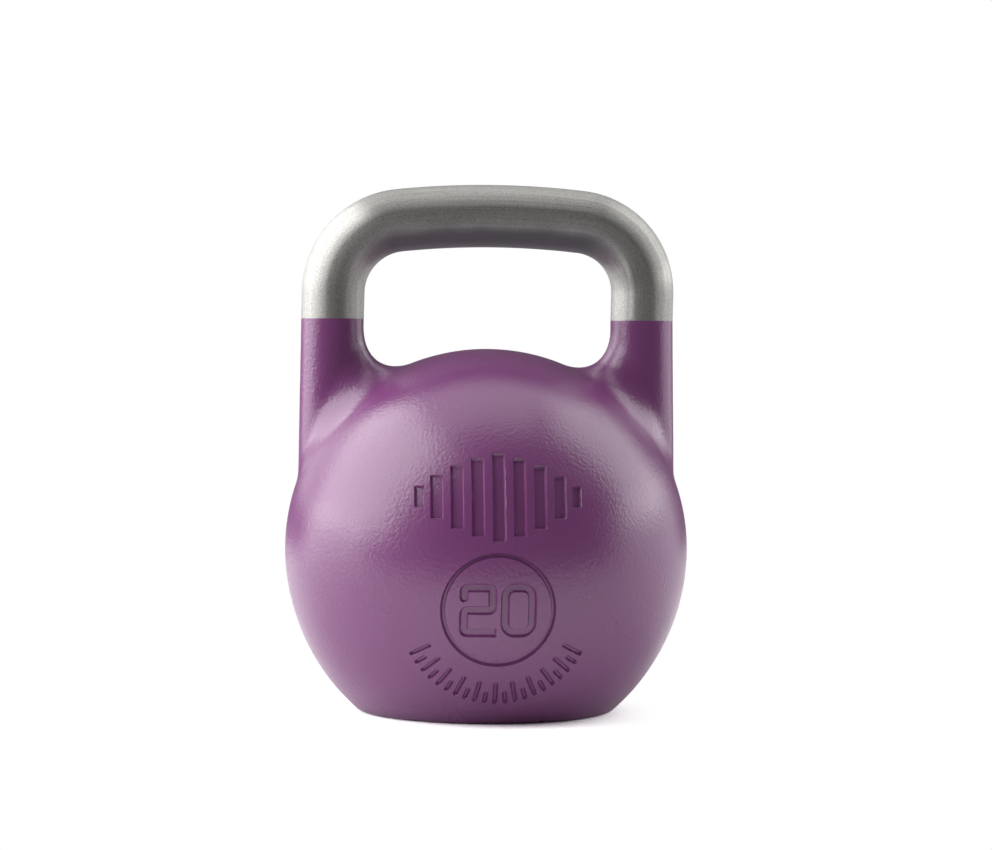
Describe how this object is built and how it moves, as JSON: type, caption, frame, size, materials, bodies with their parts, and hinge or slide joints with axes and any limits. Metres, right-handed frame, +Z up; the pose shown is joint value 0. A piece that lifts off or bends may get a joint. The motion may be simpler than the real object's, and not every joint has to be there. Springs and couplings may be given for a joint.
{
  "type": "kettlebell",
  "caption": "Competition kettlebell: a round painted ball with a flat foot and two horns that carry an arched bare steel handle.",
  "frame": {"origin": "middle of the foot, on the floor", "axes": "+Z up through the ball and the handle, +X along the handle bar, -Y is the front with the weight number"},
  "size_m": [0.21, 0.21, 0.2744],
  "materials": {
    "purple_paint": "semi-gloss purple paint with a slight cast texture",
    "ground_steel": "bare steel, ground and polished along the bar",
    "zinc_steel": "zinc plated",
    "core_iron": "as cast",
    "black_rubber": "matte",
    "black_coating": "satin black coating",
    "black_screw": "black oxide"
  },
  "bodies": {
    "root": {"ball_shell": "purple_paint", "handle_weld_left": "purple_paint", "handle_weld_right": "purple_paint", "handle_bar": "ground_steel", "ballast_stud": "zinc_steel", "core_pad": "black_rubber", "ballast_core": "core_iron", "trim_disc_1": "zinc_steel", "trim_disc_2": "zinc_steel", "trim_disc_3": "zinc_steel", "plain_washer": "zinc_steel", "spring_washer": "zinc_steel", "ballast_nut": "zinc_steel", "jam_nut": "zinc_steel", "base_plate": "black_coating", "base_gasket": "black_rubber", "base_screws": "black_screw"}
  },
  "joints": []
}
